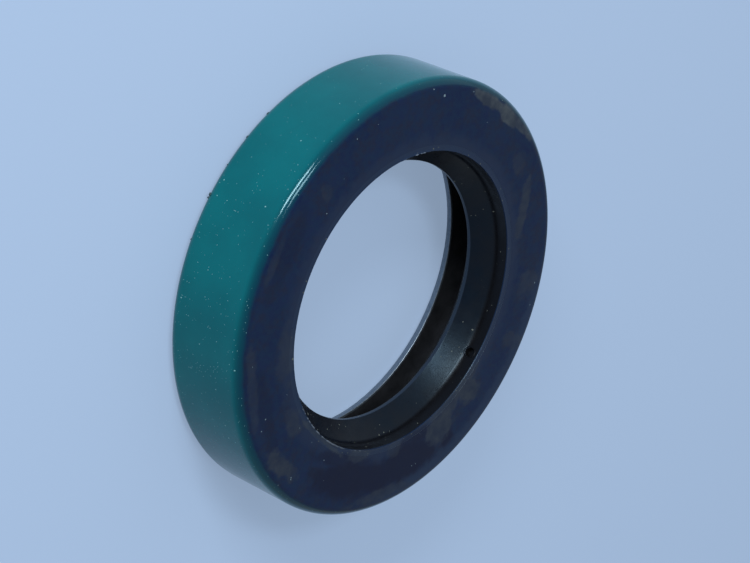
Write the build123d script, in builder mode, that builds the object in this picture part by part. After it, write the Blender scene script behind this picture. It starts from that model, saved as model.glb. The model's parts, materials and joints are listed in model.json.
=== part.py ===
from build123d import *
from math import cos, radians, sin, tan
import os

# A metal-cased radial shaft seal. The cup-shaped outer case carries a rubber lip on its
# flange, an inner case stiffens it from behind, and a garter spring loads the lip.
# The seal lies flat: its axis is Z, the rolled rear rim is on Z = 0 and the closed face is up.
# Every section is drawn in the XZ plane as (radius, height) and turned about Z.

# Driving sizes, in millimetres and degrees
shaft_diameter = 38.10
section_height = 11.10      # from the shaft's surface to the housing bore
seal_width = 12.70

# Outer case
outer_sheet = 1.20
front_bend_inside = 0.30    # inside radius between the cylinder and the flange
roll_radius = 1.50          # outside radius of the rear edge, rolled over the inner case
roll_tip = 0.25             # height that is left of the rolled edge at its thin end

# Inner case
inner_sheet = 1.05
inner_bend_inside = 0.40
lead_clearance = 0.10       # more chamfer than the outer case's inside bend needs
rear_flange_gap = 2.97      # from the shaft's surface to the rear flange's edge
edge_break = 0.29           # how much the punched edge widens towards the back

# Sealing lip
lip_interference = 2.16     # how much the free lip is smaller than the shaft, on diameter
lip_reach = 2.56            # from the face's bore in to the lip
lip_land = 0.50
air_side_angle = 46.0       # between the outer cone and the axis
oil_side_angle = 50.0       # between the inner flank and the axis
bore_band = 1.95            # straight wall between the face and the cone
face_edge_round = 0.25
flange_cover = 0.87         # rubber inside the edge of the outer case's flange
pad_thickness = 0.60        # rubber bonded behind that flange
pad_width = 3.60
pad_corner_round = 0.30
flex_thickness = 1.10
flex_root_round = 0.45
head_back = 1.90            # from the spring's plane to the back of the lip's head
nose_round = 0.50

# Garter spring and its groove
coil_diameter = 1.70
spring_rise = 2.78          # from the lip out to the spring's centre
spring_offset = 0.30        # how far the spring's plane stands in front of the lip
groove_opening = 60.0       # half the groove's mouth, seen from the spring's centre
groove_wall = 0.35

# Pit left by the mould's vent in the straight wall
pit_diameter = 1.25
pit_floor = 0.37            # rubber between the pit and the flange's edge
pit_angle = 317.7           # round the axis, from +X

# Radii and heights that follow
shaft_radius = shaft_diameter / 2
press_radius = shaft_radius + section_height
case_bore_radius = press_radius - outer_sheet
lip_radius = shaft_radius - lip_interference / 2
face_bore_radius = lip_radius + lip_reach
flange_bore_radius = face_bore_radius + flange_cover
flange_back = seal_width - outer_sheet
front_corner = front_bend_inside + outer_sheet
inner_corner = inner_bend_inside + inner_sheet
roll_tip_radius = case_bore_radius - inner_corner

os.makedirs("parts", exist_ok=True)

# Outer case: flange, cylinder and rolled rear edge, which tapers over the inner case's bend
with BuildPart() as outer_case:
    with BuildSketch(Plane.XZ):
        with BuildLine():
            Polyline(
                (case_bore_radius - front_bend_inside, flange_back),
                (flange_bore_radius, flange_back),
                (flange_bore_radius, seal_width),
                (press_radius - front_corner, seal_width),
            )
            CenterArc((press_radius - front_corner, seal_width - front_corner), front_corner, 0, 90)
            Line((press_radius, seal_width - front_corner), (press_radius, roll_radius))
            CenterArc((press_radius - roll_radius, roll_radius), roll_radius, 270, 90)
            Polyline(
                (press_radius - roll_radius, 0),
                (roll_tip_radius, 0),
                (roll_tip_radius, roll_tip),
            )
            CenterArc((roll_tip_radius, roll_tip + inner_corner), inner_corner, 270, 90)
            Line(
                (case_bore_radius, roll_tip + inner_corner),
                (case_bore_radius, flange_back - front_bend_inside),
            )
            CenterArc(
                (case_bore_radius - front_bend_inside, flange_back - front_bend_inside),
                front_bend_inside, 0, 90,
            )
        make_face()
    revolve(axis=Axis.Z)
outer_case.part.label = "outer_case"
export_step(outer_case.part, "parts/outer_case.step")

# Inner case: its cylinder lines the outer case, and its flange closes the back
inner_wall_radius = case_bore_radius - inner_sheet
rear_flange_top = roll_tip + inner_sheet
rear_bore_radius = shaft_radius + rear_flange_gap
lead_chamfer = front_bend_inside + lead_clearance

with BuildPart() as inner_case:
    with BuildSketch(Plane.XZ):
        with BuildLine():
            Polyline(
                (case_bore_radius, roll_tip + inner_corner),
                (case_bore_radius, flange_back - lead_chamfer),
                (case_bore_radius - lead_chamfer, flange_back),
                (inner_wall_radius, flange_back),
                (inner_wall_radius, rear_flange_top + inner_bend_inside),
            )
            CenterArc(
                (inner_wall_radius - inner_bend_inside, rear_flange_top + inner_bend_inside),
                inner_bend_inside, 270, 90,
            )
            Polyline(
                (inner_wall_radius - inner_bend_inside, rear_flange_top),
                (rear_bore_radius, rear_flange_top),
                (rear_bore_radius + edge_break, roll_tip),
                (roll_tip_radius, roll_tip),
            )
            CenterArc((roll_tip_radius, roll_tip + inner_corner), inner_corner, 270, 90)
        make_face()
    revolve(axis=Axis.Z)
inner_case.part.label = "inner_case"
export_step(inner_case.part, "parts/inner_case.step")

# Lip section, from the face back: straight band, cone, land, flank, head and spring groove
cone_start = seal_width - bore_band
land_start = cone_start - lip_reach / tan(radians(air_side_angle))
land_end = land_start - lip_land
spring_radius = lip_radius + spring_rise
spring_height = (land_start + land_end) / 2 + spring_offset
head_end = spring_height - head_back
flank_end_radius = lip_radius + (land_end - head_end) * tan(radians(oil_side_angle))
groove_edge_radius = spring_radius + coil_diameter / 2 * cos(radians(groove_opening))
groove_half_mouth = coil_diameter / 2 * sin(radians(groove_opening))
groove_front = spring_height + groove_half_mouth + groove_wall
pad_back = flange_back - pad_thickness
pad_radius = flange_bore_radius + pad_width


def flex_back(height):
    """Radius of the flexing wall's back, which runs flex_thickness behind the cone."""
    start = face_bore_radius + flex_thickness / cos(radians(air_side_angle))
    return start - (cone_start - height) * tan(radians(air_side_angle))


with BuildPart() as sealing_lip:
    with BuildSketch(Plane.XZ):
        with BuildLine():
            FilletPolyline(
                (groove_edge_radius, spring_height + groove_half_mouth),
                (groove_edge_radius, groove_front),
                (flex_back(groove_front), groove_front),
                (flex_back(pad_back), pad_back),
                (pad_radius, pad_back),
                (pad_radius, flange_back),
                (flange_bore_radius, flange_back),
                (flange_bore_radius, seal_width),
                (face_bore_radius, seal_width),
                (face_bore_radius, cone_start),
                (lip_radius, land_start),
                (lip_radius, land_end),
                (flank_end_radius, head_end),
                (groove_edge_radius, head_end),
                (groove_edge_radius, spring_height - groove_half_mouth),
                radius=(
                    0, 0, flex_root_round, pad_corner_round, 0, 0, 0,
                    face_edge_round, 0, 0, 0, 0, nose_round,
                ),
            )
            CenterArc(
                (spring_radius, spring_height),
                coil_diameter / 2, groove_opening, 360 - 2 * groove_opening,
            )
        make_face()
    revolve(axis=Axis.Z)
    # Vent pit, with its edge on the line where the cone starts
    pit_direction = Vector(cos(radians(pit_angle)), sin(radians(pit_angle)), 0)
    pit_mouth = pit_direction * (face_bore_radius - pit_diameter / 2)
    pit_mouth += Vector(0, 0, cone_start + pit_diameter / 2)
    with BuildSketch(Plane(origin=pit_mouth, z_dir=pit_direction)):
        Circle(pit_diameter / 2)
    extrude(amount=pit_diameter / 2 + flange_cover - pit_floor, mode=Mode.SUBTRACT)
sealing_lip.part.label = "sealing_lip"
export_step(sealing_lip.part, "parts/sealing_lip.step")

# Garter spring: the closed ring that its coils fill
with BuildPart() as garter_spring:
    with BuildSketch(Plane.XZ):
        with Locations((spring_radius, spring_height)):
            Circle(coil_diameter / 2)
    revolve(axis=Axis.Z)
garter_spring.part.label = "garter_spring"
export_step(garter_spring.part, "parts/garter_spring.step")
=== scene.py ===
import json
import math

import bmesh
import bpy
from mathutils import Matrix, Vector, noise


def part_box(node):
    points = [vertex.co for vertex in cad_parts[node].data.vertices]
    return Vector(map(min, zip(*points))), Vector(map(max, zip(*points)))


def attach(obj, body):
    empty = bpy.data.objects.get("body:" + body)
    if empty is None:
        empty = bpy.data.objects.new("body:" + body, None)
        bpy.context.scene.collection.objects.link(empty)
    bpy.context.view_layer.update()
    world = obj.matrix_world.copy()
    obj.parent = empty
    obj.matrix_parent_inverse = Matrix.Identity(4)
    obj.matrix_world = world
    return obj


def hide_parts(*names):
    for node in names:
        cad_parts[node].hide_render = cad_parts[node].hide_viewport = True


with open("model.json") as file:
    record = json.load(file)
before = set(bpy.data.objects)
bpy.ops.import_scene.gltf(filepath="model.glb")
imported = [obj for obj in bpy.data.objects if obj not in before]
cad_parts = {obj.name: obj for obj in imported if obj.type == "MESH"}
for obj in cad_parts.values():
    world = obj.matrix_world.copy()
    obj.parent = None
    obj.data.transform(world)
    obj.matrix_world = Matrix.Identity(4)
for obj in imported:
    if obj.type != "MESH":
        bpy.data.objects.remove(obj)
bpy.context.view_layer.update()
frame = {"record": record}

# A metal-cased radial shaft seal, lying on its rolled rim with the closed face up.
# Every length is in metres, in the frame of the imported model: Z is the seal's axis.
# Sections are closed loops of (radius, height) points, turned about that axis.

MM = 0.001

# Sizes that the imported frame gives
MOUNTS = {mount["name"]: mount for mount in frame["record"]["mounts"]}
CASE_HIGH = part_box("outer_case")[1]
LINER_LOW, LINER_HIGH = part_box("inner_case")
LIP_LOW, LIP_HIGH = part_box("sealing_lip")
COIL_LOW, COIL_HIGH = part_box("garter_spring")
PRESS_RADIUS = CASE_HIGH.x
FACE = CASE_HIGH.z
CASE_BORE = LINER_HIGH.x
FLANGE_BACK = LINER_HIGH.z
ROLL_TIP = LINER_LOW.z
PAD_RADIUS = LIP_HIGH.x
HEAD_END = LIP_LOW.z
LIP_RADIUS = MOUNTS["lip_bore"]["dims"]["r_mm"] * MM
LIP_LAND = MOUNTS["lip_bore"]["dims"]["length_mm"] * MM
LIP_HEIGHT = MOUNTS["lip_bore"]["pos_m"][2]
COIL_RADIUS = (COIL_HIGH.z - COIL_LOW.z) / 2
RING_RADIUS = COIL_HIGH.x - COIL_RADIUS
RING_HEIGHT = (COIL_HIGH.z + COIL_LOW.z) / 2

# Sizes of the sheet metal and the rubber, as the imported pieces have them
FRONT_BEND = 0.30 * MM
FRONT_CORNER = FRONT_BEND + FACE - FLANGE_BACK
ROLL_RADIUS = 1.50 * MM
LINER_SHEET = 1.05 * MM
LINER_BEND = 0.40 * MM
LINER_CORNER = LINER_BEND + LINER_SHEET
ROLL_TIP_RADIUS = CASE_BORE - LINER_CORNER
LEAD_CHAMFER = FRONT_BEND + 0.10 * MM
REAR_BORE = 22.02 * MM
EDGE_BREAK = 0.29 * MM
FACE_BORE = LIP_RADIUS + 2.56 * MM
FLANGE_BORE = FACE_BORE + 0.87 * MM
BAND = 1.95 * MM
PAD_BACK = FLANGE_BACK - 0.60 * MM
CONE_ANGLE = math.radians(46.0)
OIL_SIDE_ANGLE = math.radians(50.0)
FLEX_RADIAL = 1.10 * MM / math.cos(CONE_ANGLE)
GROOVE_MOUTH = math.radians(60.0)
GROOVE_WALL = 0.35 * MM
NOSE_ROUND = 0.50 * MM
PIT_RADIUS = 0.625 * MM
PIT_DEPTH = 0.50 * MM
PIT_ANGLE = math.radians(317.7)

# Steps round the ring
CASE_STEPS = 720
LINER_STEPS = 600
LIP_STEPS = 680


# ---------------------------------------------------------------- sections


def stretch(start, end, steps):
    """Points on a straight line, without its last one."""
    return [
        (start[0] + (end[0] - start[0]) * i / steps, start[1] + (end[1] - start[1]) * i / steps)
        for i in range(steps)
    ]


def arc(centre, radius, first, last, steps):
    """Points on an arc between two angles in degrees, without its last one."""
    turn = [math.radians(first + (last - first) * i / steps) for i in range(steps)]
    return [(centre[0] + radius * math.cos(a), centre[1] + radius * math.sin(a)) for a in turn]


def bend(start, corner, end, steps):
    """Points on a soft bend that leaves and arrives along its corner's two lines."""
    points = []
    for i in range(steps):
        t = i / steps
        points.append(tuple(
            s * (1 - t) ** 2 + 2 * c * t * (1 - t) + e * t**2 for s, c, e in zip(start, corner, end)
        ))
    return points


def even_angles(count):
    return [2 * math.pi * i / count for i in range(count)]


def turned(name, section, angles, shape):
    """A closed ring. shape(radius, height, angle) gives each point its radius and height."""
    verts = []
    for angle in angles:
        for radius, height in section:
            r, z = shape(radius, height, angle)
            verts.append((r * math.cos(angle), r * math.sin(angle), z))
    ring, turns = len(section), len(angles)
    faces = []
    for j in range(turns):
        here, there = j * ring, (j + 1) % turns * ring
        for i in range(ring):
            k = (i + 1) % ring
            faces.append((here + i, there + i, there + k, here + k))
    return solid(name, verts, faces)


def solid(name, verts, faces, crease=math.radians(35)):
    """A smooth-shaded object with outward faces, sharp only where it turns by more than crease."""
    mesh = bpy.data.meshes.new(name)
    mesh.from_pydata(verts, [], faces)
    bm = bmesh.new()
    bm.from_mesh(mesh)
    bmesh.ops.recalc_face_normals(bm, faces=bm.faces)
    bm.to_mesh(mesh)
    bm.free()
    mesh.shade_smooth()
    mesh.set_sharp_from_angle(angle=crease)
    piece = bpy.data.objects.new(name, mesh)
    bpy.context.scene.collection.objects.link(piece)
    return piece


def ripple(angle, radius, height, size, seed=0.0):
    """Smooth unevenness from -1 to 1 with waves of about that size, closed round the ring."""
    place = Vector((radius * math.cos(angle), radius * math.sin(angle), height)) / size
    return noise.noise(place + Vector((seed, 0, 0)))


def smooth(value, low, high):
    t = min(1.0, max(0.0, (value - low) / (high - low)))
    return t * t * (3 - 2 * t)


def near(angle, middle, half):
    """1 in the middle of a stretch of the ring, given in degrees, and 0 beyond its ends."""
    away = abs((math.degrees(angle) - middle + 180) % 360 - 180)
    return 1 - smooth(away, 0, half)


class Nodes:
    """A node tree with short ways to add, set and link its nodes."""

    def __init__(self, tree):
        self.tree = tree

    def add(self, kind, links=(), **settings):
        node = self.tree.nodes.new(kind)
        for key, value in settings.items():
            setattr(node, key, value)
        for key, value in dict(links).items():
            if isinstance(value, bpy.types.NodeSocket):
                self.tree.links.new(value, node.inputs[key])
            else:
                node.inputs[key].default_value = value
        return node

    def calc(self, operation, first, second=0.0):
        return self.add("ShaderNodeMath", {0: first, 1: second}, operation=operation).outputs[0]


# ---------------------------------------------------------------- pieces


def coated_case():
    """Outer case: its coat is a little uneven, on the wall and on the face."""
    face_end = PRESS_RADIUS - FRONT_CORNER
    section = stretch((FLANGE_BORE, FLANGE_BACK), (FLANGE_BORE, FACE), 3)
    section += stretch((FLANGE_BORE, FACE), (face_end, FACE), 26)
    section += arc((face_end, FACE - FRONT_CORNER), FRONT_CORNER, 90, 0, 18)
    section += stretch((PRESS_RADIUS, FACE - FRONT_CORNER), (PRESS_RADIUS, ROLL_RADIUS), 34)
    section += arc((PRESS_RADIUS - ROLL_RADIUS, ROLL_RADIUS), ROLL_RADIUS, 0, -90, 14)
    section += stretch((PRESS_RADIUS - ROLL_RADIUS, 0), (ROLL_TIP_RADIUS, 0), 5)
    section += stretch((ROLL_TIP_RADIUS, 0), (ROLL_TIP_RADIUS, ROLL_TIP), 2)
    roll_centre = (ROLL_TIP_RADIUS, ROLL_TIP + LINER_CORNER)
    section += arc(roll_centre, LINER_CORNER, -90, 0, 6)
    section += stretch((CASE_BORE, roll_centre[1]), (CASE_BORE, FLANGE_BACK - FRONT_BEND), 2)
    section += arc((CASE_BORE - FRONT_BEND, FLANGE_BACK - FRONT_BEND), FRONT_BEND, 0, 90, 3)
    section += stretch((CASE_BORE - FRONT_BEND, FLANGE_BACK), (FLANGE_BORE, FLANGE_BACK), 4)

    def shape(radius, height, angle):
        outside = smooth(radius, CASE_BORE + 0.1 * MM, PRESS_RADIUS)
        swell = 0.010 * ripple(angle, radius, height, 4 * MM)
        swell += 0.004 * ripple(angle, radius, height, 1.4 * MM, 7)
        radius += swell * outside * MM
        if height > FACE - 0.001 * MM:
            height += 0.006 * MM * ripple(angle, radius, 0, 3 * MM, 5)
        if radius < ROLL_TIP_RADIUS + 0.01 * MM and height < ROLL_TIP + 0.001 * MM:
            radius += 0.04 * MM * ripple(angle, radius, 0, 5 * MM, 9)
        return radius, height

    case = turned("coated_case", section, even_angles(CASE_STEPS), shape)
    for polygon in case.data.polygons:
        reach = math.hypot(*polygon.center[:2])
        if polygon.normal.z > 0.5 and reach < face_end + 0.65 * MM:
            polygon.material_index = 1
        elif polygon.center.z > ROLL_TIP and reach < CASE_BORE + 0.01 * MM:
            polygon.material_index = 2
    return case


def back_liner():
    """Inner case: its flange's punched edge has a sheared half and a rougher torn half."""
    flange_top = ROLL_TIP + LINER_SHEET
    wall = CASE_BORE - LINER_SHEET
    soft = 0.12 * MM
    shear = flange_top - 0.45 * LINER_SHEET
    shear_end = (REAR_BORE + 0.04 * MM, shear)
    torn_end = (REAR_BORE + EDGE_BREAK, ROLL_TIP + 0.03 * MM)
    back_start = (torn_end[0] + 0.05 * MM, ROLL_TIP)
    lead = CASE_BORE - LEAD_CHAMFER, FLANGE_BACK - LEAD_CHAMFER
    section = stretch((CASE_BORE, ROLL_TIP + LINER_CORNER), (CASE_BORE, lead[1]), 6)
    section += stretch((CASE_BORE, lead[1]), (lead[0], FLANGE_BACK), 2)
    section += stretch((lead[0], FLANGE_BACK), (wall, FLANGE_BACK), 2)
    section += stretch((wall, FLANGE_BACK), (wall, flange_top + LINER_BEND), 12)
    section += arc((wall - LINER_BEND, flange_top + LINER_BEND), LINER_BEND, 0, -90, 6)
    section += stretch((wall - LINER_BEND, flange_top), (REAR_BORE + soft, flange_top), 18)
    punched = (REAR_BORE, flange_top - soft)
    section += bend((REAR_BORE + soft, flange_top), (REAR_BORE, flange_top), punched, 4)
    section += stretch(punched, shear_end, 3)
    section += stretch(shear_end, torn_end, 5)
    section += stretch(torn_end, back_start, 1)
    section += stretch(back_start, (ROLL_TIP_RADIUS, ROLL_TIP), 18)
    section += arc((ROLL_TIP_RADIUS, ROLL_TIP + LINER_CORNER), LINER_CORNER, -90, 0, 8)

    def shape(radius, height, angle):
        at_edge = 1 - smooth(radius, REAR_BORE + EDGE_BREAK, REAR_BORE + EDGE_BREAK + 0.2 * MM)
        torn = at_edge * (1 - smooth(height, shear - 0.1 * MM, shear + 0.1 * MM))
        radius += torn * 0.030 * MM * ripple(angle, radius, height, 0.5 * MM)
        radius += at_edge * 0.012 * MM * ripple(angle, radius, height, 3 * MM, 4)
        if radius < ROLL_TIP_RADIUS:
            height += 0.006 * MM * ripple(angle, radius, height, 6 * MM, 2) * (1 - at_edge)
        return radius, height

    return turned("back_liner", section, even_angles(LINER_STEPS), shape)


def lip_angles():
    """Angles for the rubber: finer beside the vent pit, so that its wall stays crisp."""
    window = 1.7 * PIT_RADIUS / FACE_BORE
    fine_steps = 40
    fine = [PIT_ANGLE + window * (2 * i / fine_steps - 1) for i in range(fine_steps + 1)]
    coarse = [a for a in even_angles(LIP_STEPS) if abs(a - PIT_ANGLE) > window * 1.04]
    return sorted(coarse + fine)


def flash_height(angle):
    """Rough moulding flash on the bore's edge: a trace all round, and two torn stretches."""
    torn = max(near(angle, 224, 42), 0.45 * near(angle, 87, 13))
    grain = max(0.0, ripple(angle, FACE_BORE, 0, 0.5 * MM) + 0.3)
    coarse = max(0.0, ripple(angle, FACE_BORE, 0, 1.8 * MM, 4) + 0.3)
    return (0.012 + torn * (0.05 + 0.34 * grain * (0.4 + coarse)) + 0.03 * coarse * grain) * MM


def moulded_lip():
    """Sealing lip: bonded rubber with flash on its edge, a vent pit and a trimmed lip."""
    top = FACE - 0.02 * MM
    band_end = FACE - BAND
    pit_height = band_end + PIT_RADIUS
    land_start = LIP_HEIGHT + LIP_LAND / 2
    land_end = LIP_HEIGHT - LIP_LAND / 2
    groove_radius = RING_RADIUS + COIL_RADIUS * math.cos(GROOVE_MOUTH)
    groove_half = COIL_RADIUS * math.sin(GROOVE_MOUTH)
    cone_slope = (FACE_BORE - LIP_RADIUS) / (band_end - land_start)
    groove_front = RING_HEIGHT + groove_half + GROOVE_WALL

    def flex_back(height):
        return FACE_BORE + FLEX_RADIAL - (band_end - height) * cone_slope

    trim = 0.05 * MM
    soft_band, soft_cone = 1.15 * MM, 0.65 * MM
    flash_foot = (FACE_BORE + 0.26 * MM, top)
    flash_back = (FACE_BORE + 0.15 * MM, top + 0.001 * MM)
    flash_tip = (FACE_BORE + 0.07 * MM, top + 0.002 * MM)
    cone_start = (FACE_BORE, band_end + soft_band)
    cone_top = (
        FACE_BORE - soft_cone * math.sin(CONE_ANGLE),
        band_end - soft_cone * math.cos(CONE_ANGLE),
    )
    pit_rows = (FACE_BORE, pit_height + 1.5 * PIT_RADIUS)
    section = stretch((FLANGE_BORE, top), flash_foot, 4)
    section += [flash_foot, flash_back, flash_tip]
    section += stretch((FACE_BORE, FACE - 0.12 * MM), pit_rows, 3)
    section += stretch(pit_rows, cone_start, 8)
    section += bend(cone_start, (FACE_BORE, band_end), cone_top, 24)
    cone_end = (LIP_RADIUS + trim, land_start + trim)
    land_top = (LIP_RADIUS, land_start - trim)
    land_foot = (LIP_RADIUS, land_end + trim)
    flank_start = (LIP_RADIUS + trim, land_end - trim)
    flank_end = LIP_RADIUS + (land_end - HEAD_END) * math.tan(OIL_SIDE_ANGLE)
    section += stretch(cone_top, cone_end, 20)
    section += bend(cone_end, (LIP_RADIUS, land_start), land_top, 3)
    section += stretch(land_top, land_foot, 3)
    section += bend(land_foot, (LIP_RADIUS, land_end), flank_start, 3)
    section += stretch(flank_start, (flank_end, HEAD_END), 8)
    section += stretch((flank_end, HEAD_END), (groove_radius - NOSE_ROUND, HEAD_END), 3)
    section += arc((groove_radius - NOSE_ROUND, HEAD_END + NOSE_ROUND), NOSE_ROUND, -90, 0, 6)
    section += stretch((groove_radius, HEAD_END + NOSE_ROUND), (groove_radius, RING_HEIGHT - groove_half), 2)
    section += arc((RING_RADIUS, RING_HEIGHT), COIL_RADIUS, -60, -300, 18)
    section += stretch((groove_radius, RING_HEIGHT + groove_half), (groove_radius, groove_front), 1)
    section += stretch((groove_radius, groove_front), (flex_back(groove_front), groove_front), 1)
    root = flex_back(PAD_BACK)
    root_start = (root - 0.25 * MM, PAD_BACK - 0.24 * MM)
    root_end = (root + 0.30 * MM, PAD_BACK)
    pad_round = 0.30 * MM
    section += stretch((flex_back(groove_front), groove_front), root_start, 5)
    section += bend(root_start, (root, PAD_BACK), root_end, 4)
    section += stretch(root_end, (PAD_RADIUS - pad_round, PAD_BACK), 3)
    section += arc((PAD_RADIUS - pad_round, PAD_BACK + pad_round), pad_round, -90, 0, 4)
    section += stretch((PAD_RADIUS, PAD_BACK + pad_round), (PAD_RADIUS, FLANGE_BACK), 1)
    section += stretch((PAD_RADIUS, FLANGE_BACK), (FLANGE_BORE, FLANGE_BACK), 2)
    section += stretch((FLANGE_BORE, FLANGE_BACK), (FLANGE_BORE, top), 2)

    def shape(radius, height, angle):
        if (radius, height) in (flash_back, flash_tip):
            rise = flash_height(angle)
            share = 1.0 if (radius, height) == flash_tip else 0.7
            return radius - 0.3 * rise * share, height + rise * share
        if FACE_BORE - 0.50 * MM < radius < FACE_BORE + 0.001 * MM and height > cone_top[1]:
            across = math.hypot((angle - PIT_ANGLE) * FACE_BORE, height - pit_height)
            floor_depth = FACE_BORE + PIT_DEPTH - radius
            radius += floor_depth * (1 - smooth(across, 0.86 * PIT_RADIUS, PIT_RADIUS))
            radius -= 0.06 * MM * smooth(across, 0.97 * PIT_RADIUS, 1.12 * PIT_RADIUS) * (
                1 - smooth(across, 1.12 * PIT_RADIUS, 1.45 * PIT_RADIUS)
            )
        if radius < LIP_RADIUS + 0.1 * MM:
            height += 0.02 * MM * ripple(angle, radius, 0, 4 * MM, 6)
            radius += 0.010 * MM * ripple(angle, radius, height, 0.9 * MM, 2)
        return radius, height

    return turned("moulded_lip", section, lip_angles(), shape)


def wound_spring():
    """Garter spring: close-wound wire joined into a ring, with a slimmer turn at its joint."""
    tree = bpy.data.node_groups.new("wound_ring", "GeometryNodeTree")
    for label, kind, value in (
        ("Ring radius", "NodeSocketFloat", RING_RADIUS),
        ("Ring height", "NodeSocketFloat", RING_HEIGHT),
        ("Coil radius", "NodeSocketFloat", COIL_RADIUS),
        ("Wire radius", "NodeSocketFloat", 0.15 * MM),
        ("Turns", "NodeSocketInt", 420),
        ("Points a turn", "NodeSocketInt", 14),
        ("Joint dip", "NodeSocketFloat", 0.10 * MM),
        ("Wire finish", "NodeSocketMaterial", spring_wire()),
    ):
        socket = tree.interface.new_socket(label, in_out="INPUT", socket_type=kind)
        socket.default_value = value
    tree.interface.new_socket("Ring", in_out="OUTPUT", socket_type="NodeSocketGeometry")
    nodes = Nodes(tree)
    add, calc = nodes.add, nodes.calc
    inputs = add("NodeGroupInput").outputs
    ring_radius, ring_height, coil_radius, wire_radius, turns, points, dip, finish = inputs[:8]
    count = calc("MULTIPLY", turns, points)
    circle = add("GeometryNodeMeshCircle", {"Vertices": count})
    index = add("GeometryNodeInputIndex").outputs[0]
    around = calc("MULTIPLY", calc("DIVIDE", index, count), 2 * math.pi)
    winding = calc("MULTIPLY", around, turns)
    joint = calc("SUBTRACT", around, math.radians(200.0))
    joint = calc("MULTIPLY", calc("MULTIPLY", joint, joint), -900.0)
    joint = calc("MULTIPLY", calc("EXPONENT", joint), dip)
    reach = calc("SUBTRACT", calc("SUBTRACT", coil_radius, wire_radius), joint)
    out = calc("ADD", ring_radius, calc("MULTIPLY", reach, calc("COSINE", winding)))
    place = add("ShaderNodeCombineXYZ", {
        "X": calc("MULTIPLY", out, calc("COSINE", around)),
        "Y": calc("MULTIPLY", out, calc("SINE", around)),
        "Z": calc("ADD", ring_height, calc("MULTIPLY", reach, calc("SINE", winding))),
    })
    placed = add("GeometryNodeSetPosition", {"Geometry": circle.outputs[0], "Position": place.outputs[0]})
    path = add("GeometryNodeMeshToCurve", {"Mesh": placed.outputs[0]})
    wire = add("GeometryNodeCurvePrimitiveCircle", {"Resolution": 8, "Radius": wire_radius})
    tube = add("GeometryNodeCurveToMesh", {"Curve": path.outputs[0], "Profile Curve": wire.outputs[0]})
    real = add("GeometryNodeRealizeInstances", {"Geometry": tube.outputs[0]})
    dressed = add("GeometryNodeSetMaterial", {"Geometry": real.outputs[0], "Material": finish})
    add("NodeGroupOutput", {0: dressed.outputs[0]})

    carrier = bpy.data.objects.new("spring_path", bpy.data.meshes.new("spring_path"))
    bpy.context.scene.collection.objects.link(carrier)
    carrier.modifiers.new("wound_ring", "NODES").node_group = tree
    graph = bpy.context.evaluated_depsgraph_get()
    mesh = bpy.data.meshes.new_from_object(carrier.evaluated_get(graph))
    bpy.data.objects.remove(carrier)
    mesh.shade_smooth()
    piece = bpy.data.objects.new("wound_spring", mesh)
    bpy.context.scene.collection.objects.link(piece)
    return piece


def rim_crumbs():
    """Crumbs of dried coat on the rolled edge, each a small lump sunk a little into it."""
    lumps = (
        # angle, place round the roll, across, out, along the axis
        (140.5, 32, 0.22, 0.30, 0.16),
        (141.3, 44, 0.16, 0.17, 0.14),
        (124.0, 36, 0.20, 0.12, 0.15),
        (132.3, 38, 0.10, 0.07, 0.12),
        (116.0, 40, 0.22, 0.09, 0.20),
        (152.0, 42, 0.12, 0.08, 0.10),
        (262.0, 40, 0.18, 0.09, 0.16),
        (338.0, 35, 0.15, 0.08, 0.13),
    )
    verts, faces = [], []
    for n, (degrees, roll, across, out, along) in enumerate(lumps):
        angle, tip = math.radians(degrees), math.radians(roll)
        radius = PRESS_RADIUS - ROLL_RADIUS + ROLL_RADIUS * math.cos(tip)
        height = ROLL_RADIUS - ROLL_RADIUS * math.sin(tip)
        bm = bmesh.new()
        bmesh.ops.create_icosphere(bm, subdivisions=2, radius=1)
        first = len(verts)
        for vert in bm.verts:
            lump = vert.co * (1 + 0.35 * noise.noise(vert.co * 1.7 + Vector((9 * n, 0, 0))))
            reach = radius + lump.x * out * MM * math.cos(tip) + lump.z * along * MM * math.sin(tip)
            rise = height - lump.x * out * MM * math.sin(tip) + lump.z * along * MM * math.cos(tip)
            side = angle + lump.y * across * MM / radius
            verts.append((reach * math.cos(side), reach * math.sin(side), rise))
        faces += [tuple(first + vert.index for vert in face.verts) for face in bm.faces]
        bm.free()
    return solid("rim_crumbs", verts, faces, math.pi)


# ---------------------------------------------------------------- finishes


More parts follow.
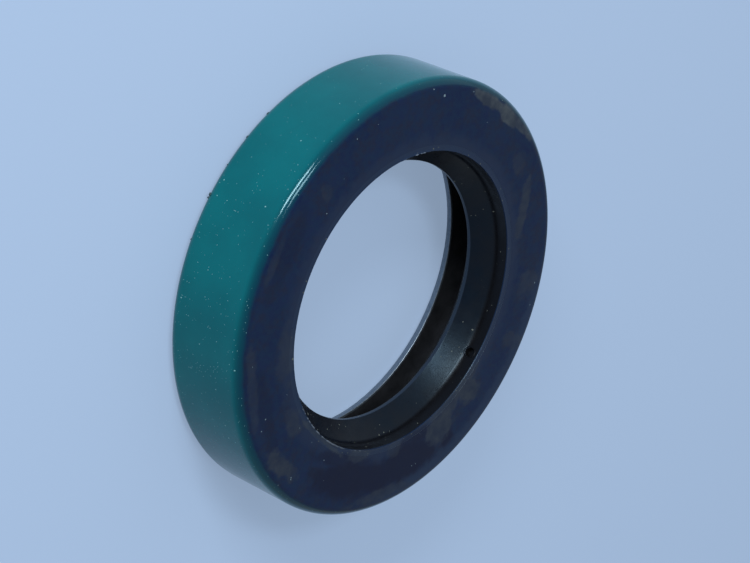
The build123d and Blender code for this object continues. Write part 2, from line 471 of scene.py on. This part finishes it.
class Finish(Nodes):
    """A node material with short ways to write its nodes. Sizes of patterns are in millimetres."""

    def __init__(self, name):
        self.material = bpy.data.materials.new(name)
        self.material.use_nodes = True
        super().__init__(self.material.node_tree)
        self.shader = self.tree.nodes["Principled BSDF"]
        self.place = self.add("ShaderNodeTexCoord").outputs["Object"]
        split = self.add("ShaderNodeSeparateXYZ", {0: self.place})
        self.height = self.calc("DIVIDE", split.outputs["Z"], MM)
        flat = self.add("ShaderNodeVectorMath", {0: self.place, 1: (1, 1, 0)}, operation="MULTIPLY")
        length = self.add("ShaderNodeVectorMath", {0: flat.outputs[0]}, operation="LENGTH")
        self.radius = self.calc("DIVIDE", length.outputs["Value"], MM)
        self.flat = flat.outputs[0]

    def towards(self, x, y):
        """How far each place lies in that direction across the seal, in metres."""
        links = {0: self.place, 1: (x, y, 0)}
        return self.add("ShaderNodeVectorMath", links, operation="DOT_PRODUCT").outputs["Value"]

    def ramp(self, value, low, high, start=0.0, end=1.0):
        links = {"Value": value, "From Min": low, "From Max": high, "To Min": start, "To Max": end}
        return self.add("ShaderNodeMapRange", links, interpolation_type="SMOOTHSTEP").outputs[0]

    def mix(self, share, first, second):
        node = self.add("ShaderNodeMix", {0: share, 6: first, 7: second}, data_type="RGBA")
        return node.outputs[2]

    def grain(self, size, detail=3.0, rough=0.5, place=None):
        links = {"Vector": place or self.place, "Scale": 1 / (size * MM), "Detail": detail}
        links["Roughness"] = rough
        return self.add("ShaderNodeTexNoise", links).outputs["Fac"]

    def specks(self, cell, size, share):
        """Ragged specks of up to that size, in a share of the cells of a random grid."""
        links = {"Vector": self.place, "Scale": 1 / (size * MM), "Detail": 2.0}
        noisy = self.add("ShaderNodeTexNoise", links)
        links = {0: noisy.outputs["Color"], 1: (size * MM,) * 3}
        stray = self.add("ShaderNodeVectorMath", links, operation="MULTIPLY")
        moved = self.add("ShaderNodeVectorMath", {0: self.place, 1: stray.outputs[0]}, operation="ADD")
        cells = self.add("ShaderNodeTexVoronoi", {"Vector": moved.outputs[0], "Scale": 1 / (cell * MM)})
        chance = self.add("ShaderNodeSeparateColor", {0: cells.outputs["Color"]})
        reach = self.calc("MULTIPLY", chance.outputs[1], size / cell)
        inside = self.calc("LESS_THAN", cells.outputs["Distance"], reach)
        return self.calc("MULTIPLY", inside, self.calc("LESS_THAN", chance.outputs[0], share))

    def bump(self, height, depth, normal=None):
        links = {"Height": height, "Distance": depth * MM, "Strength": 1.0}
        if normal is not None:
            links["Normal"] = normal
        return self.add("ShaderNodeBump", links).outputs[0]

    def finish(self, **sockets):
        for name, value in sockets.items():
            socket = self.shader.inputs[name.replace("_", " ").title().replace("Ior", "IOR")]
            if isinstance(value, bpy.types.NodeSocket):
                self.tree.links.new(value, socket)
            else:
                socket.default_value = value
        return self.material


def colour(red, green, blue):
    """A colour written as display values from 0 to 255."""
    parts = [c / 255 for c in (red, green, blue)]
    return tuple(p / 12.92 if p < 0.04045 else ((p + 0.055) / 1.055) ** 2.4 for p in parts) + (1.0,)


# Patches on the face: angle and radius of the middle, half length, half width, turn, strength
WORN_PATCHES = (
    (40, 28.7, 3.6, 0.8, 4, 0.8),
    (47, 28.2, 2.6, 1.0, -6, 1.0),
    (57, 28.4, 4.2, 0.9, -2, 1.0),
)
DULL_PATCHES = (
    (13, 24.1, 3.6, 1.1, -24, 0.80),
    (30, 25.4, 1.8, 1.3, 0, 0.45),
    (126, 25.5, 0.8, 1.1, 0, 0.40),
    (150, 27.9, 3.0, 0.6, 0, 0.35),
    (178, 22.0, 3.6, 1.6, 0, 0.50),
    (183, 27.8, 5.5, 0.8, 0, 0.40),
    (204, 22.8, 1.9, 1.3, 0, 0.60),
    (213, 27.3, 3.4, 1.2, 6, 0.85),
    (221, 20.8, 6.0, 0.4, 0, 0.80),
    (247, 21.2, 2.2, 1.0, 0, 0.60),
    (266, 21.4, 1.5, 1.1, 0, 0.45),
    (262, 27.8, 6.0, 0.8, 0, 0.55),
    (290, 23.0, 2.5, 2.5, 0, 0.95),
    (296, 21.6, 3.0, 1.4, 0, 0.85),
    (306, 22.7, 2.1, 2.3, 0, 0.95),
    (309, 21.4, 2.8, 0.9, 0, 0.80),
    (328, 26.6, 1.1, 2.4, 0, 0.45),
    (346, 26.3, 1.9, 2.4, 6, 0.50),
)
DARK_PATCHES = (
    (247, 24.8, 8.5, 2.6, 0, 1.0),
    (272, 24.6, 6.5, 3.0, 0, 1.0),
    (240, 22.2, 6.5, 1.2, 0, 0.8),
    (276, 22.0, 4.0, 1.5, 0, 0.9),
    (291, 26.4, 1.3, 1.0, 0, 1.0),
    (146, 26.2, 6.0, 1.5, 0, 0.4),
    (192, 26.2, 7.0, 1.2, 0, 0.4),
)


def face_patches(look, patches, wave, ragged, soft):
    """How strongly the patches cover each place of the face, with edges that wander."""
    stray = look.calc("MULTIPLY", look.calc("SUBTRACT", look.grain(wave, 6, 0.62), 0.5), ragged)
    total = 0.0
    for degrees, radius, length, width, tilt, strength in patches:
        angle = math.radians(degrees)
        links = {
            "Vector": look.flat,
            "Location": (radius * MM * math.cos(angle), radius * MM * math.sin(angle), 0),
            "Rotation": (0, 0, angle + math.radians(tilt)),
            "Scale": (width * MM, length * MM, 1),
        }
        moved = look.add("ShaderNodeMapping", links, vector_type="TEXTURE").outputs[0]
        away = look.add("ShaderNodeVectorMath", {0: moved}, operation="LENGTH").outputs["Value"]
        patch = look.ramp(look.calc("ADD", away, stray), 1 + soft, 1 - soft, 0.0, strength)
        total = look.calc("MAXIMUM", total, patch)
    return total


def dark_face_colour(look):
    """Blue-black colour of the closed face, paler near its edges (towards the bore this paleness is a
    painted sheen), and the share of its dull patches.
    """
    base = look.mix(look.ramp(look.grain(9.0, 4, 0.6), 0.4, 0.6), colour(6, 25, 57), colour(11, 29, 60))
    cloudy = look.ramp(look.grain(2.4, 6, 0.68), 0.44, 0.60, 0.0, 0.75)
    base = look.mix(cloudy, base, colour(21, 28, 48))
    fine = look.ramp(look.grain(0.8, 5, 0.7), 0.42, 0.58, 0.0, 0.60)
    base = look.mix(fine, base, colour(9, 34, 60))
    dark = face_patches(look, DARK_PATCHES, 2.6, 1.5, 0.30)
    base = look.mix(look.calc("MULTIPLY", dark, 0.85), base, colour(7, 16, 40))
    # Painted sheen: the face is drawn paler towards the bore, except under its dark patches.
    bore_side = look.calc("ADD", look.radius, look.calc("MULTIPLY", look.grain(1.8, 4), 3.0))
    painted_bore_sheen = look.ramp(bore_side, 25.2, 23.0, 0.0, 0.75)
    painted_bore_sheen = look.calc("MULTIPLY", painted_bore_sheen, look.calc("SUBTRACT", 1.0, dark))
    base = look.mix(painted_bore_sheen, base, colour(26, 39, 62))
    far_side = look.ramp(look.towards(0.56, -0.83), 0.016, 0.024)
    rim_side = look.calc("ADD", look.radius, look.calc("MULTIPLY", look.grain(1.4, 4), 2.0))
    outer = look.calc("MULTIPLY", far_side, look.ramp(rim_side, 27.6, 29.2))
    base = look.mix(look.calc("MULTIPLY", outer, 0.8), base, colour(28, 44, 68))
    dull = face_patches(look, DULL_PATCHES, 2.0, 2.2, 0.30)
    film = look.mix(look.ramp(look.grain(1.8, 5, 0.6), 0.3, 0.7), colour(28, 38, 55), colour(42, 50, 61))
    base = look.mix(dull, base, film)
    worn = face_patches(look, WORN_PATCHES, 2.6, 1.6, 0.20)
    scuff = look.mix(look.ramp(look.grain(2.0, 5, 0.55), 0.3, 0.7), colour(36, 45, 59), colour(60, 68, 75))
    return look.mix(worn, base, scuff), look.calc("MAXIMUM", dull, worn)


def coat_and_face(look):
    """Colour of the outer case, green coat to dark face, and the share of the face's dull patches."""
    dark, patches = dark_face_colour(look)
    front = FACE / MM
    wander = look.calc("MULTIPLY", look.calc("SUBTRACT", look.grain(2.2, 3), 0.5), 0.5)
    edge = look.calc("ADD", look.radius, wander)
    below_face = look.ramp(look.height, front - 0.12, front - 0.45)
    end = (PRESS_RADIUS - FRONT_CORNER) / MM
    coated = look.calc("MAXIMUM", below_face, look.ramp(edge, end + 0.30, end + 0.95))
    thin = look.ramp(look.height, front - 1.5, front - 0.15)
    body = look.ramp(look.grain(9.0, 3, 0.55), 0.3, 0.7)
    green = look.mix(body, colour(0, 81, 86), colour(0, 90, 94))
    green = look.mix(thin, green, colour(0, 47, 63))
    return look.mix(coated, dark, green), patches


def bore_coat():
    """Glossy green coat of the press diameter, with dust that lies thicker on one side."""
    look = Finish("bore_coat")
    tint = coat_and_face(look)[0]
    crowd = look.ramp(look.towards(-0.94, -0.34), 0.000, 0.030, 0.07, 0.28)
    fine = look.calc("MAXIMUM", look.specks(0.26, 0.055, crowd), look.specks(0.75, 0.10, crowd))
    dust = look.calc("MAXIMUM", fine, look.specks(2.1, 0.18, 0.03))
    tint = look.mix(dust, tint, colour(112, 160, 160))
    rough = look.calc("ADD", 0.10, look.calc("MULTIPLY", look.grain(3.5, 4), 0.06))
    rough = look.calc("MAXIMUM", rough, look.calc("MULTIPLY", dust, 0.5))
    normal = look.bump(look.grain(0.7, 2, 0.5), 0.010)
    normal = look.bump(dust, 0.02, normal)
    look.finish(base_color=tint, roughness=rough, normal=normal)
    return look.finish(specular_ior_level=0.30, specular_tint=(0.55, 0.90, 1.0, 1.0))


def closed_face():
    """Dull blue-black finish of the closed face, with its patches and a little dust."""
    look = Finish("closed_face")
    tint, patches = coat_and_face(look)
    dust = look.calc("MAXIMUM", look.specks(0.75, 0.10, 0.08), look.specks(2.1, 0.18, 0.06))
    tint = look.mix(dust, tint, colour(110, 130, 140))
    rough = look.calc("ADD", 0.38, look.calc("MULTIPLY", look.grain(3.5, 4), 0.10))
    rough = look.calc("MAXIMUM", rough, look.calc("MULTIPLY", look.calc("MAXIMUM", dust, patches), 0.55))
    normal = look.bump(look.grain(0.5, 3, 0.55), 0.004)
    normal = look.bump(look.calc("MAXIMUM", dust, look.calc("MULTIPLY", patches, 0.3)), 0.02, normal)
    return look.finish(base_color=tint, roughness=rough, normal=normal, specular_ior_level=0.14)


def lip_rubber():
    """Black moulded rubber, with turned mould marks, dust and paler flash on its edge; the blue in its body
    colour is a painted reflection.
    """
    look = Finish("lip_rubber")
    front = FACE / MM
    tone = look.ramp(look.grain(3.0, 4, 0.6), 0.35, 0.65)
    bore = FACE_BORE / MM
    on_face = look.ramp(look.height, front - 0.22, front - 0.04)
    band = look.ramp(look.radius, bore - 0.35, bore - 0.05)
    band = look.calc("MULTIPLY", band, look.calc("SUBTRACT", 1.0, on_face))
    # Painted reflection: the blue in the body colour stands for blue surroundings mirrored in the black
    # rubber, and the bore's band keeps a plain near-black.
    body = look.mix(tone, colour(4, 9, 20), colour(9, 11, 19))
    body = look.mix(band, body, colour(9, 9, 11))
    tint = look.mix(on_face, body, dark_face_colour(look)[0])
    flash = look.ramp(look.height, front + 0.03, front + 0.09)
    tint = look.mix(flash, tint, look.mix(look.grain(0.3, 3), colour(52, 64, 80), colour(120, 130, 144)))
    away = look.calc("ABSOLUTE", look.calc("SUBTRACT", look.height, LIP_HEIGHT / MM))
    land = look.calc("MULTIPLY", look.ramp(away, 0.30, 0.20), look.ramp(look.radius, 18.25, 18.1))
    tint = look.mix(land, tint, colour(34, 43, 56))
    dust = look.calc("MAXIMUM", look.specks(0.50, 0.11, 0.16), look.specks(1.1, 0.17, 0.32))
    tint = look.mix(dust, tint, colour(86, 90, 84))
    rings = look.add("ShaderNodeCombineXYZ", {
        "X": look.calc("MULTIPLY", look.radius, MM),
        "Y": look.calc("MULTIPLY", look.height, MM),
    }).outputs[0]
    marks = look.grain(0.11, 3, 0.7, rings)
    rough = look.ramp(look.grain(1.6, 4, 0.6), 0.3, 0.7, 0.27, 0.37)
    rough = look.calc("ADD", rough, look.calc("MULTIPLY", dust, 0.4))
    normal = look.bump(marks, 0.006)
    normal = look.bump(look.grain(0.35, 4, 0.6), 0.010, normal)
    cone_part = look.ramp(look.height, front - 4.6, front - 2.0)
    sheen = look.mix(cone_part, (0.46, 0.72, 0.95, 1.0), (0.58, 0.82, 1.0, 1.0))
    sheen = look.mix(band, sheen, (0.50, 0.56, 0.66, 1.0))
    look.finish(base_color=tint, roughness=rough, normal=normal)
    return look.finish(specular_ior_level=0.25, specular_tint=sheen)


def liner_steel():
    """Dark oiled steel, bare and paler on the punched edge of the flange."""
    look = Finish("liner_steel")
    tone = look.ramp(look.grain(4.0, 4, 0.6), 0.3, 0.7)
    oiled = look.mix(tone, colour(62, 65, 70), colour(88, 91, 97))
    edge = look.ramp(look.radius, 22.42, 22.30)
    bare = look.mix(look.grain(0.4, 3, 0.6), colour(94, 105, 117), colour(136, 149, 161))
    tint = look.mix(edge, oiled, bare)
    rough = look.ramp(look.grain(1.2, 4, 0.6), 0.3, 0.7, 0.34, 0.50)
    normal = look.bump(look.grain(0.25, 4, 0.6), 0.006)
    return look.finish(base_color=tint, metallic=0.85, roughness=rough, normal=normal)


def spring_wire():
    """Drawn spring wire with a trace of oil."""
    look = Finish("spring_wire")
    tone = look.ramp(look.grain(1.5, 3, 0.6), 0.3, 0.7)
    tint = look.mix(tone, colour(150, 152, 156), colour(196, 197, 199))
    rough = look.ramp(look.grain(0.6, 3, 0.6), 0.3, 0.7, 0.22, 0.36)
    return look.finish(base_color=tint, metallic=1.0, roughness=rough)


def dried_coat():
    """Crumbs that the coat left on the rim, nearly black."""
    look = Finish("dried_coat")
    tone = look.ramp(look.grain(0.3, 3, 0.6), 0.3, 0.7)
    tint = look.mix(tone, colour(14, 26, 32), colour(24, 58, 64))
    normal = look.bump(look.grain(0.12, 3, 0.6), 0.02)
    return look.finish(base_color=tint, roughness=0.5, normal=normal)


# ---------------------------------------------------------------- studio


def floor():
    """Plain pale floor, partly self-lit to the camera and in reflections, so that it stays even."""
    reach, gap = 4.0, 0.01 * MM
    verts = [(x * reach, y * reach, -gap) for x, y in ((-1, -1), (1, -1), (1, 1), (-1, 1))]
    mesh = bpy.data.meshes.new("floor")
    mesh.from_pydata(verts, [], [(0, 1, 2, 3)])
    piece = bpy.data.objects.new("floor", mesh)
    bpy.context.scene.collection.objects.link(piece)
    look = Finish("pale_floor")
    pale = colour(168, 191, 221)
    mesh.materials.append(look.finish(base_color=pale, roughness=0.9, specular_ior_level=0.1))
    glow = look.add("ShaderNodeEmission", {"Color": pale})
    ray = look.add("ShaderNodeLightPath").outputs
    seen = look.calc("MAXIMUM", ray["Is Camera Ray"], ray["Is Glossy Ray"])
    seen = look.calc("MAXIMUM", seen, ray["Is Transmission Ray"])
    share = look.calc("MULTIPLY", seen, 0.55)
    blend = look.add("ShaderNodeMixShader", {0: share, 1: look.shader.outputs[0], 2: glow.outputs[0]})
    look.tree.links.new(blend.outputs[0], look.tree.nodes["Material Output"].inputs["Surface"])


def softbox(name, towards, along, distance, size, watts, tint):
    """An area light that faces the seal from that direction, its long side lying along a line."""
    back = Vector(towards).normalized()
    side = (Vector(along) - back * Vector(along).dot(back)).normalized()
    lamp = bpy.data.lights.new(name, "AREA")
    lamp.shape = "RECTANGLE"
    lamp.size, lamp.size_y = size
    lamp.energy = watts
    lamp.color = tint
    holder = bpy.data.objects.new(name, lamp)
    turn = Matrix((side, back.cross(side), back)).transposed().to_4x4()
    holder.matrix_world = Matrix.Translation(back * distance + Vector((0, 0, FACE / 2))) @ turn
    bpy.context.scene.collection.objects.link(holder)


def studio():
    """Two strip softboxes, one low and one high, a broad fill and an even sky."""
    cool, cooler = (0.95, 0.98, 1.0), (0.90, 0.96, 1.0)
    softbox("low_strip", (-0.45, 0.80, 0.38), (0.87, 0.20, 0.45), 0.55, (0.25, 0.08), 2.3, cool)
    softbox("high_strip", (-0.21, 0.59, 0.79), (0.90, 0.10, 0.42), 0.55, (0.17, 0.09), 0.95, cooler)
    softbox("broad_fill", (0.55, 0.65, 0.50), (1, 0, 0), 1.0, (1.6, 1.2), 1.5, cool)
    world = bpy.data.worlds.new("even_sky")
    world.use_nodes = True
    sky = world.node_tree.nodes["Background"]
    sky.inputs["Color"].default_value = (0.86, 0.92, 1.0, 1.0)
    sky.inputs["Strength"].default_value = 0.45
    bpy.context.scene.world = world
    bpy.context.scene.view_settings.view_transform = "Standard"


def camera():
    """A long lens, 53 degrees off the seal's axis, with the frame's +Y nearly upright."""
    place = Vector((-195.6, 136.4, 185.2)) * MM
    ahead = Vector((0.6585, -0.4555, -0.5991)).normalized()
    upright = Vector((0, 1, 0))
    lean = math.radians(1.31)
    up = (upright - ahead * upright.dot(ahead)).normalized()
    right = ahead.cross(up)
    up, right = up * math.cos(lean) - right * math.sin(lean), right * math.cos(lean) + up * math.sin(lean)
    lens = bpy.data.cameras.new("camera")
    lens.lens = 108.77
    lens.sensor_width = 36.0
    lens.clip_start, lens.clip_end = 0.01, 20.0
    holder = bpy.data.objects.new("camera", lens)
    turn = Matrix((right, up, -ahead)).transposed().to_4x4()
    holder.matrix_world = Matrix.Translation(place) @ turn
    bpy.context.scene.collection.objects.link(holder)
    bpy.context.scene.camera = holder


# ---------------------------------------------------------------- assembly

camera()
studio()
floor()

for make, node, slot, finishes in (
    (coated_case, "outer_case", "case_coat", (bore_coat, closed_face, liner_steel)),
    (back_liner, "inner_case", "case_steel", (liner_steel,)),
    (moulded_lip, "sealing_lip", "lip_rubber", (lip_rubber,)),
    (wound_spring, "garter_spring", "spring_wire", ()),
    (rim_crumbs, None, "case_coat", (dried_coat,)),
):
    piece = make()
    for finish in finishes:
        piece.data.materials.append(finish())
    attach(piece, "root")
    if node is not None:
        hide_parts(node)
